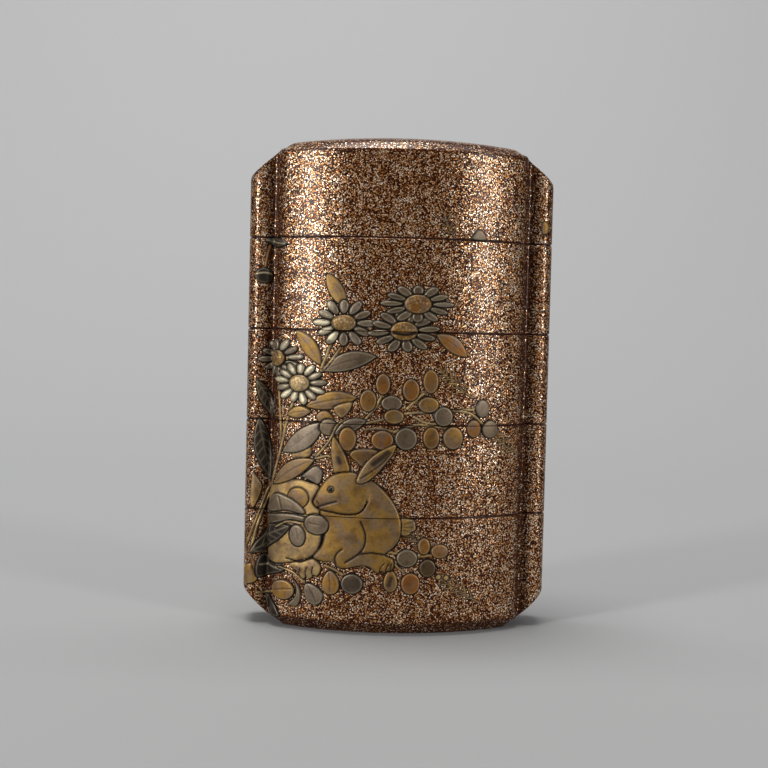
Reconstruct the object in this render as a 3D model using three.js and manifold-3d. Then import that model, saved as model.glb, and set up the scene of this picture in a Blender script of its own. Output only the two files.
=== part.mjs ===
// Inro: a lid and four nesting cases of lacquered wood, stacked, with a cord runner down each side
// and raised figures of rabbits, asters and bush clover.
// Millimetres, +Z up, origin at the centre of the foot, front towards -Y.
import * as THREE from "three";
import { mergeVertices } from "three/addons/utils/BufferGeometryUtils.js";
import Module from "manifold-3d";

const wasm = await Module();
wasm.setup();

// Plan of the body and its cord runners
const bodyWidth = 44; // across the flat sides, without the runners
const thickness = 27; // through the middle, front to back
const faceRadius = 38; // the broad curve of front and back
const cornerRadius = 3.4;
const grooveRadius = 0.8; // hollow between the body and a runner
const runnerReach = 5; // how far a runner stands out of the side
const runnerRadius = 2.4;
const runnerHalfDepth = 4.7;

// Heights between the seams
const bottomCaseHeight = 20.5;
const caseHeight = 16;
const lidHeight = 17.2; // to the shoulder, under the crown
const edgeBevel = 2.2; // 45 degree bevel round the top and the foot
const crownRise = 0.6; // of the lid's top, over the shoulder

// Walls and fits
const skirtWall = 1.3; // outer wall that drops over the riser below
const riserWall = 1.05;
const riserGap = 0.15; // round a riser
const riserHeight = 6;
const seatGap = 0.2; // over a riser's top
const floorThickness = 1.2;
const footThickness = 1.8;
const roofThickness = 1.5;

// Cord channels through the runners
const cordHoleWidth = 2.4;
const cordHoleDepth = 4.6;
const cordHoleWall = 1.6; // left outside the hole

// Raised figures: how far each kind stands out of the surface
const leafRise = 0.4;
const cloverRise = 0.5;
const petalRise = 0.6;
const discRise = 0.9;
const bodyRise = 0.8;
const haunchRise = 1;
const pawRise = 1;
const headRise = 1.1;
const earRise = 0.8;
const sunk = 0.3; // every figure starts this far under the surface

// Shape of a raised figure, as shares of its outline and its rise
const edgeShare = 0.95;
const edgeHeight = 0.6;
const flatShare = 0.8;

// Facets of each curve
const faceSteps = 8; // in half a face
const cornerSteps = 2;
const grooveSteps = 2;
const runnerSteps = 3;
const holeSteps = 4; // in each round end of a cord hole
const crownShares = [0.7, 0.35]; // rings of the crown, as shares of the shoulder's outline
const ovalPoints = 8;
const leafSteps = 4; // along each edge of a leaf
const rabbitPoints = 14;

const past = 1; // a cut runs on this far beyond what it cuts
const sameVertex = 1e-5; // closer than this, two corners are one

const lacquer = new THREE.MeshStandardMaterial({
  name: "gold_flake_lacquer",
  color: 0x7a5237,
  roughness: 0.35,
  metalness: 0.5,
});

// The arcs of one quarter of the plan, from the middle of a face to the side of a runner
function quarterArcs() {
  const face = new THREE.Vector2(0, thickness / 2 - faceRadius);
  const cornerX = bodyWidth / 2 - cornerRadius;
  const faceEnd = Math.acos(cornerX / (faceRadius - cornerRadius));
  const corner = new THREE.Vector2(cornerX, face.y + (faceRadius - cornerRadius) * Math.sin(faceEnd));
  const runner = new THREE.Vector2(
    bodyWidth / 2 + runnerReach - runnerRadius,
    runnerHalfDepth - runnerRadius,
  );
  // The groove's circle touches the corner's and the runner's from outside
  const toRunner = runner.clone().sub(corner);
  const apart = toRunner.length();
  const nearCorner = cornerRadius + grooveRadius;
  const nearRunner = runnerRadius + grooveRadius;
  const along = (nearCorner ** 2 - nearRunner ** 2 + apart ** 2) / (2 * apart);
  const across = Math.sqrt(nearCorner ** 2 - along ** 2);
  const unit = toRunner.normalize();
  const groove = new THREE.Vector2(
    corner.x + unit.x * along - unit.y * across,
    corner.y + unit.y * along + unit.x * across,
  );
  const cornerEnd = groove.clone().sub(corner).angle();
  const runnerStart = groove.clone().sub(runner).angle();
  return [
    { centre: face, radius: faceRadius, from: Math.PI / 2, to: faceEnd, steps: faceSteps, out: 1 },
    { centre: corner, radius: cornerRadius, from: faceEnd, to: cornerEnd, steps: cornerSteps, out: 1 },
    {
      centre: groove,
      radius: grooveRadius,
      from: cornerEnd + Math.PI,
      to: runnerStart + Math.PI,
      steps: grooveSteps,
      out: -1,
    },
    { centre: runner, radius: runnerRadius, from: runnerStart, to: 0, steps: runnerSteps, out: 1 },
  ];
}

const arcs = quarterArcs();

function pointOnArc(arc, share, radius = arc.radius) {
  const angle = arc.from + (arc.to - arc.from) * share;
  return new THREE.Vector2(
    arc.centre.x + radius * Math.cos(angle),
    arc.centre.y + radius * Math.sin(angle),
  );
}

// Mirrors a quarter, listed from the middle of a face to the side, into a closed outline
function mirrored(quarter) {
  const sideways = (points, x, y) => points.map((p) => new THREE.Vector2(p.x * x, p.y * y));
  const backwards = [...quarter].reverse();
  return [
    ...sideways(backwards, 1, 1),
    ...sideways(quarter.slice(1), -1, 1),
    ...sideways(backwards, -1, -1),
    ...sideways(quarter.slice(1), 1, -1),
  ];
}

function outlineOfArcs(list, inset) {
  const quarter = [pointOnArc(list[0], 0, list[0].radius - inset)];
  for (const arc of list) {
    for (let i = 1; i <= arc.steps; i++) {
      quarter.push(pointOnArc(arc, i / arc.steps, arc.radius - inset * arc.out));
    }
  }
  return mirrored(quarter);
}

// The whole plan with its runners
function planOutline() {
  return outlineOfArcs(arcs, 0);
}

// The body alone, with flat sides, drawn in by inset, or out where inset is negative
function bodyOutline(inset) {
  const [face, corner] = arcs;
  return outlineOfArcs([face, { ...corner, to: 0 }], inset);
}

function cordHoleOutline(side) {
  const middle = side * (bodyWidth / 2 + runnerReach - cordHoleWall - cordHoleWidth / 2);
  const radius = cordHoleWidth / 2;
  const offset = cordHoleDepth / 2 - radius;
  const outline = [];
  for (const end of [1, -1]) {
    for (let i = 0; i <= holeSteps; i++) {
      const angle = (i / holeSteps) * Math.PI + (end > 0 ? 0 : Math.PI);
      outline.push(
        new THREE.Vector2(middle + radius * Math.cos(angle), end * offset + radius * Math.sin(angle)),
      );
    }
  }
  return outline;
}

function solidFrom(geometry) {
  geometry.deleteAttribute("normal");
  geometry.deleteAttribute("uv");
  const merged = mergeVertices(geometry, sameVertex);
  return new wasm.Manifold(
    new wasm.Mesh({
      numProp: 3,
      vertProperties: new Float32Array(merged.attributes.position.array),
      triVerts: new Uint32Array(merged.index.array),
    }),
  );
}

function prism(outline, low, high) {
  const geometry = new THREE.ExtrudeGeometry(new THREE.Shape(outline), {
    depth: high - low,
    bevelEnabled: false,
  });
  geometry.translate(0, 0, low);
  return solidFrom(geometry);
}

// Joins rings of equally many points into a skin and closes it to a point at each end
function loft(rings, firstPoint, lastPoint) {
  const count = rings[0].length;
  const points = [...rings.flat(), firstPoint, lastPoint];
  const first = points.length - 2;
  const last = points.length - 1;
  const faces = [];
  for (let i = 0; i < count; i++) {
    const j = (i + 1) % count;
    faces.push(first, j, i);
    for (let r = 0; r < rings.length - 1; r++) {
      const low = r * count;
      const high = low + count;
      faces.push(low + i, low + j, high + j, low + i, high + j, high + i);
    }
    const top = (rings.length - 1) * count;
    faces.push(top + i, top + j, last);
  }
  const geometry = new THREE.BufferGeometry().setFromPoints(points);
  geometry.setIndex(faces);
  return solidFrom(geometry);
}

const atHeight = (outline, z) => outline.map((p) => new THREE.Vector3(p.x, p.y, z));

// Everything under the bevelled and crowned top. The bevel's slope runs on out over the runners.
function underTop(low, shoulder) {
  const reach = runnerReach + past;
  const edge = shoulder - edgeBevel;
  const top = bodyOutline(edgeBevel);
  const rings = [
    atHeight(bodyOutline(-reach), low),
    atHeight(bodyOutline(-reach), edge - reach),
    atHeight(top, shoulder),
  ];
  for (const share of crownShares) {
    const smaller = top.map((p) => p.clone().multiplyScalar(share));
    rings.push(atHeight(smaller, shoulder + crownRise * (1 - share ** 2)));
  }
  return loft(rings, new THREE.Vector3(0, 0, low), new THREE.Vector3(0, 0, shoulder + crownRise));
}

// Everything above the bevelled foot, up to high
function overFoot(high) {
  const reach = runnerReach + past;
  const rings = [
    atHeight(bodyOutline(edgeBevel), 0),
    atHeight(bodyOutline(-reach), edgeBevel + reach),
    atHeight(bodyOutline(-reach), high),
  ];
  return loft(rings, new THREE.Vector3(0, 0, 0), new THREE.Vector3(0, 0, high));
}

const riserInset = skirtWall + riserGap;
const hollowInset = riserInset + riserWall;
const recessDepth = riserHeight + seatGap;

function cutCordHoles(solid, low, high) {
  return [-1, 1].reduce(
    (left, side) => left.subtract(prism(cordHoleOutline(side), low - past, high + past)),
    solid,
  );
}

// Adds the riser on top and cuts the hollow down to the floor
function withRiser(solid, low, high, floor) {
  const riser = prism(bodyOutline(riserInset), (low + high) / 2, high + riserHeight);
  const hollow = prism(bodyOutline(hollowInset), floor, high + riserHeight + past);
  return cutCordHoles(solid.add(riser).subtract(hollow), low, high);
}

function cutRecess(solid, low) {
  return solid.subtract(prism(bodyOutline(skirtWall), low - past, low + recessDepth));
}

function buildCase(low) {
  const high = low + caseHeight;
  const shell = withRiser(prism(planOutline(), low, high), low, high, low + recessDepth + floorThickness);
  return cutRecess(shell, low);
}

function buildBottomCase() {
  const high = bottomCaseHeight;
  const outside = prism(planOutline(), 0, high).intersect(overFoot(high + past));
  return withRiser(outside, 0, high, footThickness);
}

function buildLid(low) {
  const shoulder = low + lidHeight;
  const outside = prism(planOutline(), low, shoulder + crownRise + past).intersect(
    underTop(low - past, shoulder),
  );
  const hollow = prism(bodyOutline(hollowInset), low, shoulder - roofThickness);
  return cutCordHoles(cutRecess(outside.subtract(hollow), low), low, shoulder);
}

// A place on the front, or with back on the back: s along the surface from its middle to the right,
// z up, h outwards
function onFace({ s, z }, h, back) {
  const side = s < 0 ? -1 : 1;
  const turn = back ? -1 : 1;
  let left = Math.abs(s);
  for (const arc of arcs) {
    const length = Math.abs(arc.to - arc.from) * arc.radius;
    if (left <= length) {
      const p = pointOnArc(arc, left / length, arc.radius + h * arc.out);
      return new THREE.Vector3(turn * side * p.x, turn * -p.y, z);
    }
    left -= length;
  }
  const end = pointOnArc(arcs.at(-1), 1, runnerRadius + h);
  return new THREE.Vector3(turn * side * end.x, turn * (left - end.y), z);
}

// A low pad on the surface with a closed outline of places, listed anticlockwise. Its edge slopes in
// to a flat top, or to a point in the middle where it has no flat.
function pad(outline, rise, { back = false, flat = false } = {}) {
  const middle = {
    s: outline.reduce((sum, p) => sum + p.s, 0) / outline.length,
    z: outline.reduce((sum, p) => sum + p.z, 0) / outline.length,
  };
  const ring = (share, h) =>
    outline.map((p) => {
      const place = {
        s: middle.s + (p.s - middle.s) * share,
        z: middle.z + (p.z - middle.z) * share,
      };
      return onFace(place, h, back);
    });
  const rings = [ring(1, -sunk), ring(edgeShare, rise * edgeHeight)];
  if (flat) rings.push(ring(flatShare, rise));
  return loft(rings, onFace(middle, -sunk, back), onFace(middle, rise, back));
}

const degrees = Math.PI / 180;

function oval({ s, z, wide, high, turn = 0 }) {
  return Array.from({ length: ovalPoints }, (_, i) => {
    const angle = (i / ovalPoints) * 2 * Math.PI;
    const a = wide * Math.cos(angle);
    const b = high * Math.sin(angle);
    const cos = Math.cos(turn * degrees);
    const sin = Math.sin(turn * degrees);
    return { s: s + a * cos - b * sin, z: z + a * sin + b * cos };
  });
}

const leafFullness = 0.8; // lower is fuller towards the ends

// A pointed leaf or ear from one place to another, bowed sideways by bend
function blade({ from, to, width, bend = 0 }) {
  const length = Math.hypot(to[0] - from[0], to[1] - from[1]);
  const along = [(to[0] - from[0]) / length, (to[1] - from[1]) / length];
  const edge = (share, side) => {
    const half = (width / 2) * Math.sin(Math.PI * share) ** leafFullness;
    const off = bend * 4 * share * (1 - share) + side * half;
    const reach = share * length;
    return {
      s: from[0] + along[0] * reach - along[1] * off,
      z: from[1] + along[1] * reach + along[0] * off,
    };
  };
  const outline = [];
  for (let i = 0; i < leafSteps; i++) outline.push(edge(i / leafSteps, -1));
  for (let i = leafSteps; i > 0; i--) outline.push(edge(i / leafSteps, 1));
  return outline;
}

// A smooth closed outline through a few places
function smooth(places, count) {
  const through = places.map(([s, z]) => new THREE.Vector3(s, z, 0));
  const curve = new THREE.CatmullRomCurve3(through, true);
  return curve.getSpacedPoints(count).slice(0, count).map((p) => ({ s: p.x, z: p.y }));
}

const petals = 10;
const petalNotch = 0.14; // of the radius, between two petals
const discWide = 0.37; // of the flower
const discHigh = 0.42;

function aster({ s, z, wide, high }, back = false) {
  const count = petals * 2;
  const rim = Array.from({ length: count }, (_, i) => {
    const angle = (i / count) * 2 * Math.PI;
    const reach = i % 2 ? 1 - petalNotch : 1;
    return { s: s + wide * reach * Math.cos(angle), z: z + high * reach * Math.sin(angle) };
  });
  const disc = oval({ s, z, wide: wide * discWide, high: high * discHigh });
  return [pad(rim, petalRise, { back }), pad(disc, discRise, { back })];
}

const leafletReach = 1.45; // from the point to a leaflet's middle, in leaflet radii
const leafletHigh = 0.85; // of its length

// Three oval leaflets round one point, the first one in the direction turn
function trefoil({ s, z, turn, leaf, rise = cloverRise }, back = false) {
  return [0, 120, 240].map((step) => {
    const angle = (turn + step) * degrees;
    const out = leaf * leafletReach;
    const place = { s: s + out * Math.cos(angle), z: z + out * Math.sin(angle) };
    const shape = { ...place, wide: leaf, high: leaf * leafletHigh, turn: turn + step };
    return pad(oval(shape), rise, { back });
  });
}

const asters = [
  { s: -10.3, z: 53.8, wide: 5.6, high: 4.4 },
  { s: -22.4, z: 47.4, wide: 2.8, high: 3.4 },
  { s: -18.2, z: 43.2, wide: 4.6, high: 3.7 },
  { s: 2.3, z: 57.3, wide: 6.4, high: 3.6 },
  { s: 0, z: 52.4, wide: 6.2, high: 3.9 },
];

const trefoils = [
  { s: -3.5, z: 41.6, turn: 90, leaf: 1.6 },
  { s: 3.7, z: 42.3, turn: 180, leaf: 1.65 },
  { s: -1.2, z: 35.6, turn: 90, leaf: 1.6 },
  { s: 7.2, z: 35.6, turn: 90, leaf: 1.7 },
  { s: 14.6, z: 37, turn: 90, leaf: 1.45 },
  { s: 3.7, z: 13.7, turn: 185, leaf: 1.6 },
  { s: -17, z: 20, turn: 100, leaf: 1.8, rise: haunchRise + leafRise }, // lies on the rabbit behind
  { s: -11.6, z: 7.4, turn: 85, leaf: 1.7 },
];

const ovals = [
  { s: -13.2, z: 37, wide: 1.4, high: 1.1 },
  { s: -15.1, z: 27.8, wide: 1.6, high: 1.5 },
  { s: 7.2, z: 14.8, wide: 1.6, high: 1.3 },
  { s: -1.3, z: 9.3, wide: 1.4, high: 1.9 },
  { s: 2.2, z: 8.9, wide: 1.6, high: 2 },
  { s: -20.3, z: 6.8, wide: 1.8, high: 1.8 },
];

const leaves = [
  { from: [-13.4, 62], to: [-10, 57], width: 1.8, bend: 0.4 },
  { from: [-19.2, 52.4], to: [-14.2, 46.4], width: 2, bend: -0.4 },
  { from: [-13.4, 45.2], to: [-4.4, 48], width: 2.8, bend: 0.3 },
  { from: [-16.8, 39.6], to: [-7.8, 41.2], width: 2, bend: 0.3 },
  { from: [-11.8, 39], to: [-8.2, 36.6], width: 1.8, bend: 0.2 },
  { from: [-21.2, 30.6], to: [-13, 36.6], width: 3.6, bend: 0.6 },
  { from: [-22.8, 25.6], to: [-14.8, 30], width: 2.6, bend: 0.5 },
  { from: [5.8, 52], to: [10.8, 48.6], width: 2.4, bend: 0.5 },
];

// The two rabbits. The front one crouches with its head down to the left, the other sits behind it.
const rabbitForms = [
  {
    rise: bodyRise,
    outline: [
      ...[[-13.8, 25.2], [-18, 26.5], [-22.6, 25.2], [-23.6, 19]],
      ...[[-23, 12], [-19, 11.6], [-14.9, 13], [-13.2, 16.8]],
    ],
  },
  {
    rise: haunchRise,
    outline: [[-13.4, 16.9], [-17.4, 18.8], [-20.6, 15.6], [-19, 12.2], [-14.9, 13.2]],
  },
  {
    rise: pawRise,
    outline: [[-13.6, 11.9], [-17, 12.6], [-19.4, 11.2], [-15.9, 9.3], [-13.5, 10.2]],
  },
  {
    rise: bodyRise,
    outline: [
      ...[[-4.9, 27], [-11, 25], [-13.4, 20.6], [-13.2, 15], [-10.8, 12.4]],
      ...[[-6, 13], [-1.4, 14.8], [0.4, 18.4], [-1.2, 23.6]],
    ],
  },
  {
    rise: pawRise,
    outline: [
      ...[[-9.6, 14.6], [-11, 12.6], [-8.8, 11.6], [-5.4, 12.1]],
      ...[[-2.6, 11.1], [-0.8, 12.6], [-2.6, 14.3], [-7, 14.2]],
    ],
  },
  {
    rise: headRise,
    outline: [[-15.1, 22.5], [-11.7, 21], [-7, 21.2], [-5.5, 24.2], [-7.2, 27.9], [-10.9, 28], [-13.8, 25.5]],
  },
];

const ears = [
  { from: [-10, 27], to: [-11.7, 34.4], width: 2.9 },
  { from: [-7, 25.9], to: [-0.7, 33.3], width: 3 },
];

// The back has one plain spray
const backAsters = [
  { s: -3.4, z: 56.6, wide: 5.8, high: 4.4 },
  { s: 5.6, z: 49.8, wide: 5, high: 3.9 },
];
const backTrefoils = [
  { s: -8.6, z: 46, turn: 160, leaf: 1.7 },
  { s: 0.6, z: 39.6, turn: 90, leaf: 1.7 },
  { s: 8.4, z: 33.4, turn: 30, leaf: 1.6 },
];
const backLeaves = [
  { from: [-2.6, 44.6], to: [-10.4, 38.4], width: 2.6, bend: 0.6 },
  { from: [3.2, 30], to: [-4.4, 24.4], width: 2.6, bend: 0.6 },
];

function buildRelief() {
  const front = [
    ...leaves.map((shape) => pad(blade(shape), leafRise)),
    ...rabbitForms.map(({ rise, outline }) => pad(smooth(outline, rabbitPoints), rise, { flat: true })),
    ...ears.map((shape) => pad(blade(shape), earRise)),
    ...ovals.map((shape) => pad(oval(shape), cloverRise)),
    ...trefoils.flatMap((shape) => trefoil(shape)),
    ...asters.flatMap((shape) => aster(shape)),
  ];
  const back = [
    ...backLeaves.map((shape) => pad(blade(shape), leafRise, { back: true })),
    ...backTrefoils.flatMap((shape) => trefoil(shape, true)),
    ...backAsters.flatMap((shape) => aster(shape, true)),
  ];
  return [...front, ...back].reduce((all, one) => all.add(one));
}

const relief = buildRelief();

// Gives a piece the part of the relief between its two seams
function withRelief(solid, low, high) {
  const reach = bodyWidth + thickness;
  const square = [
    new THREE.Vector2(-reach, -reach),
    new THREE.Vector2(reach, -reach),
    new THREE.Vector2(reach, reach),
    new THREE.Vector2(-reach, reach),
  ];
  return solid.add(relief.intersect(prism(square, low, high)));
}

function meshOf(name, solid) {
  const { vertProperties, triVerts } = solid.getMesh();
  const geometry = new THREE.BufferGeometry();
  geometry.setAttribute("position", new THREE.BufferAttribute(vertProperties, 3));
  geometry.setIndex(new THREE.BufferAttribute(triVerts, 1));
  geometry.computeVertexNormals();
  const mesh = new THREE.Mesh(geometry, lacquer);
  mesh.name = name;
  return mesh;
}

const inro = new THREE.Group();
const caseNames = ["case_3", "case_2", "case_1"]; // upwards from the bottom case
const lidLow = bottomCaseHeight + caseNames.length * caseHeight;

inro.add(meshOf("case_4", withRelief(buildBottomCase(), 0, bottomCaseHeight)));
caseNames.forEach((name, i) => {
  const low = bottomCaseHeight + i * caseHeight;
  inro.add(meshOf(name, withRelief(buildCase(low), low, low + caseHeight)));
});
inro.add(meshOf("lid", withRelief(buildLid(lidLow), lidLow, lidLow + lidHeight)));

export default inro;
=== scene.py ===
import math

import bmesh
import bpy
import numpy as np
from mathutils import Matrix, Vector
from mathutils.geometry import delaunay_2d_cdt


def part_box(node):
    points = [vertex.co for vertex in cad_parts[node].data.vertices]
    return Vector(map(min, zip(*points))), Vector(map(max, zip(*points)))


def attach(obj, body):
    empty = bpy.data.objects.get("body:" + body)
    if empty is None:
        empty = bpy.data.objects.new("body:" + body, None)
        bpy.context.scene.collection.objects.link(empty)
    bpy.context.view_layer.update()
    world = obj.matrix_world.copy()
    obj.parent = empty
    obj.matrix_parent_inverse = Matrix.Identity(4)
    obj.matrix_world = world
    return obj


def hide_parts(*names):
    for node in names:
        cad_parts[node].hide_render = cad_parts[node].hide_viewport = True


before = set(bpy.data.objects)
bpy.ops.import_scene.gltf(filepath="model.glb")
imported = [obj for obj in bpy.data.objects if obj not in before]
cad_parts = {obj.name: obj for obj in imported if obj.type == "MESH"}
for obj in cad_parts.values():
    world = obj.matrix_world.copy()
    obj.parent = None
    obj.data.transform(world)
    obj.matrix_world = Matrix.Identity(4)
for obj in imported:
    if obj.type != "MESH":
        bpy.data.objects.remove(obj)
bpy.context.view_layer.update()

# Looks of a lacquered inro: a flake-sprinkled ground with raised gold and silver figures.
# Lengths are millimetres; those of the paper sweep and the lamps are metres.

mm = 0.001
pieceNames = ["case_4", "case_3", "case_2", "case_1", "lid"]     # from the foot up
lidLow, lidHigh = [[value / mm for value in corner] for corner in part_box("lid")]

shape = {
    "width": lidHigh[0] - lidLow[0],
    "thickness": lidHigh[1] - lidLow[1],
    "faceRadius": 38.0,
    "cornerRadius": 3.4,
    "grooveRadius": 0.8,
    "runnerReach": 5.0,
    "runnerRadius": 2.4,
    "runnerHalfDepth": 4.7,
    "edgeBevel": 2.2,          # 45 degrees, round the top and the foot
    "runnerEnds": ((0.88, 0.15), (1.0, 1.15)),   # top and foot: slope, and how far past the bevel
    "runnerBlend": (-1.3, 1.0),  # out from the body's outline, where that takes over from the bevel
    "runnerSide": (18.0, 22.0),  # and across, so that only the runners have it
    "edgeRound": (0.35, 1.6),  # radius of that edge on the faces and on the runners
    "edgeLead": 0.45,          # how far the wall's last ring lies from that rounding
    "crownRise": 0.6,
    "endDrop": 0.55,           # the lid falls away a little more towards its two ends
    # The shoulder is worn round: how far in, and how far below its full height
    "wornShoulder": ((1.2, 1.03), (1.6, 0.72), (2.0, 0.48), (2.5, 0.28), (3.1, 0.13)),
    "crownRings": (0.9, 0.8, 0.68, 0.52, 0.35, 0.18),
    "wornFoot": ((1.9, 0.3), (2.1, 0.1), (2.4, 0.0)),
    "seamRound": 0.26,         # worn edge at each seam, bare to the dark lacquer under the flakes
    "skirtWall": 1.3,
    "riserInset": 1.45,
    "hollowInset": 2.5,
    "riserHeight": 6.0,
    "recessDepth": 6.2,
    "floorThickness": 1.2,
    "footThickness": 1.8,
    "roofThickness": 1.5,
    "smoothUnder": 35,         # degrees between faces
    "weld": 0.002,             # points nearer than this are one
    "cordHole": (2.4, 4.6),    # across and along the runner
    "cordHoleWall": 1.6,
}
bodyHalf = shape["width"] / 2 - shape["runnerReach"]
topZ = lidHigh[2] - shape["crownRise"]                           # the lid's shoulder
tiers = [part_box(name)[0][2] / mm for name in pieceNames] + [topZ]   # where each starts and ends


def linear(hexColour):
    values = [int(hexColour[i:i + 2], 16) / 255 for i in (1, 3, 5)]
    return [v / 12.92 if v <= 0.04045 else ((v + 0.055) / 1.055) ** 2.4 for v in values] + [1.0]


# An input takes a value, or the output that feeds it
def setInput(tree, entry, value):
    if isinstance(value, bpy.types.NodeSocket):
        tree.links.new(value, entry)
    else:
        entry.default_value = value


# The outputs of a new node; a ramp also takes its stops
def addNode(tree, kind, settings, stops=()):
    node = tree.nodes.new("ShaderNode" + kind)
    for i, (colour, place) in enumerate(stops):
        stop = node.color_ramp.elements[i] if i < 2 else node.color_ramp.elements.new(place)
        stop.position, stop.color = place, linear(colour)
    for key, value in settings.items():
        if isinstance(key, int) or key in node.inputs:
            setInput(tree, node.inputs[key], value)
        else:
            setattr(node, key, value)
    return node.outputs


def calculate(tree, operation, *values, kind="Math"):
    return addNode(tree, kind, {"operation": operation, **dict(enumerate(values))})[0]


def blend(tree, amount, first, second):
    return addNode(tree, "Mix", {"data_type": "RGBA", 0: amount, 6: first, 7: second})[2]


def remap(tree, value, low=0.0, high=1.0, first=0.0, last=1.0):
    return addNode(tree, "MapRange", {"Value": value, "From Min": low, "From Max": high,
                                      "To Min": first, "To Max": last})["Result"]


def addObject(name, data):
    made = bpy.data.objects.new(name, data)
    bpy.context.scene.collection.objects.link(made)
    return made


# Plan of the case: tangent arcs from the middle of a face to the side of a runner
def quarterArcs():
    faceR, cornerR = shape["faceRadius"], shape["cornerRadius"]
    grooveR, runnerR = shape["grooveRadius"], shape["runnerRadius"]
    face = Vector((0, shape["thickness"] / 2 - faceR))
    faceEnd = math.acos((bodyHalf - cornerR) / (faceR - cornerR))
    corner = Vector((bodyHalf - cornerR, face.y + (faceR - cornerR) * math.sin(faceEnd)))
    runner = Vector((shape["width"] / 2 - runnerR, shape["runnerHalfDepth"] - runnerR))
    toRunner = runner - corner
    apart = toRunner.length
    near, far = cornerR + grooveR, runnerR + grooveR
    along = (near ** 2 - far ** 2 + apart ** 2) / (2 * apart)
    across = math.sqrt(near ** 2 - along ** 2)
    unit = toRunner.normalized()
    groove = corner + unit * along + Vector((-unit.y, unit.x)) * across
    cornerEnd = math.atan2(groove.y - corner.y, groove.x - corner.x)
    runnerStart = math.atan2(groove.y - runner.y, groove.x - runner.x)
    keys = ("centre", "radius", "start", "stop", "out", "steps")
    return [dict(zip(keys, values)) for values in (
        (face, faceR, math.pi / 2, faceEnd, 1, 54),
        (corner, cornerR, faceEnd, cornerEnd, 1, 16),
        (groove, grooveR, cornerEnd + math.pi, runnerStart + math.pi, -1, 12),
        (runner, runnerR, runnerStart, 0, 1, 20),
    )]


arcs = quarterArcs()
for arc in arcs:
    arc["length"] = abs(arc["stop"] - arc["start"]) * arc["radius"]


# Place on the front of the plan at s along it from the middle, standing out by h, and the way out
def planAt(s, h=0.0):
    s = np.asarray(s, float)
    away = np.abs(s)
    side = np.where(s < 0, -1.0, 1.0)
    x = np.full(s.shape, shape["width"] / 2) + h
    y = np.full(s.shape, arcs[-1]["centre"].y)
    outX = np.ones(s.shape)
    outY = np.zeros(s.shape)
    begin = 0.0
    for arc in arcs:
        here = (away >= begin) & (away <= begin + arc["length"])
        angle = arc["start"] + (arc["stop"] - arc["start"]) * (away - begin) / arc["length"]
        radius = np.maximum(arc["radius"] + h * arc["out"], 0.1)     # never turned inside out
        x = np.where(here, arc["centre"].x + radius * np.cos(angle), x)
        y = np.where(here, arc["centre"].y + radius * np.sin(angle), y)
        outX = np.where(here, arc["out"] * np.cos(angle), outX)
        outY = np.where(here, arc["out"] * np.sin(angle), outY)
        begin += arc["length"]
    y = np.where(away > begin, y - (away - begin), y)
    return side * x, -y, side * outX, -outY


# The places along the front where the loops have their points
def frontPlaces():
    places = [0.0]
    for arc in arcs:
        start = places[-1]
        places += [start + arc["length"] * (i + 1) / arc["steps"] for i in range(arc["steps"])]
    return np.array([-place for place in reversed(places)] + places[1:])


frontS = frontPlaces()


# The whole plan as a closed loop, anticlockwise from above, standing out by h
def planLoop(h=0.0):
    x, y, _, _ = planAt(frontS, h)
    return np.column_stack([np.concatenate([x, -x]), np.concatenate([y, -y])])


# The body alone, with flat sides, drawn in by inset
def bodyLoop(inset):
    quarter = []
    for arc, stop in ((arcs[0], arcs[0]["stop"]), (arcs[1], 0.0)):
        steps = arc["steps"]
        for i in range(0 if not quarter else 1, steps + 1):
            angle = arc["start"] + (stop - arc["start"]) * i / steps
            radius = arc["radius"] - inset
            quarter.append((arc["centre"].x + radius * math.cos(angle),
                            arc["centre"].y + radius * math.sin(angle)))
    q = np.array(quarter)
    front = np.concatenate([q[::-1] * (-1, -1), q[1:] * (1, -1)])
    return np.concatenate([front, -front])


def holeLoop(side):
    wide, deep = shape["cordHole"]
    middle = side * (shape["width"] / 2 - shape["cordHoleWall"] - wide / 2)
    half = np.linspace(0, math.pi, 17)
    ends = []
    for sign, turn in ((1, 0), (-1, math.pi)):
        ends.append(np.column_stack([middle + wide / 2 * np.cos(half + turn),
                                     sign * (deep - wide) / 2 + wide / 2 * np.sin(half + turn)]))
    return np.concatenate(ends)


# How far a place lies outside the body's outline, negative inside
def outsideBody(loop):
    x, y = np.abs(loop[:, 0]), np.abs(loop[:, 1])
    corner, face = arcs[1]["centre"], arcs[0]["centre"]
    toCorner = np.hypot(x - corner.x, y - corner.y) - shape["cornerRadius"]
    toFace = np.hypot(x - face.x, y - face.y) - shape["faceRadius"]
    angle = np.arctan2(y - corner.y, x - corner.x)
    inCorner = (x > corner.x) & (y > corner.y) & (angle < arcs[0]["stop"])
    return np.where(y <= corner.y, x - bodyHalf, np.where(inCorner, toCorner, toFace))


def raised(loop, z):
    return np.column_stack([loop, np.broadcast_to(z, len(loop))])


# Shells: walls between loops and flat plates with holes
def newSkin():
    return {"points": [], "faces": [], "slots": []}


def addPoints(skin, points):
    first = len(skin["points"])
    skin["points"] += [tuple(p) for p in points]
    return first


def addWall(skin, loops, slot):
    firsts = [addPoints(skin, loop) for loop in loops]
    count = len(loops[0])
    for low, high in zip(firsts, firsts[1:]):
        for i in range(count):
            j = (i + 1) % count
            skin["faces"].append((low + i, low + j, high + j, high + i))
            skin["slots"].append(slot)


def insideLoop(points, loop):
    x, y = points[:, 0:1], points[:, 1:2]
    ax, ay = loop[:, 0], loop[:, 1]
    bx, by = np.roll(ax, -1), np.roll(ay, -1)
    crosses = (ay > y) != (by > y)
    drop = np.where(by == ay, 1.0, by - ay)
    return (np.sum(crosses & (x < (bx - ax) * (y - ay) / drop + ax), axis=1) % 2) == 1


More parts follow.
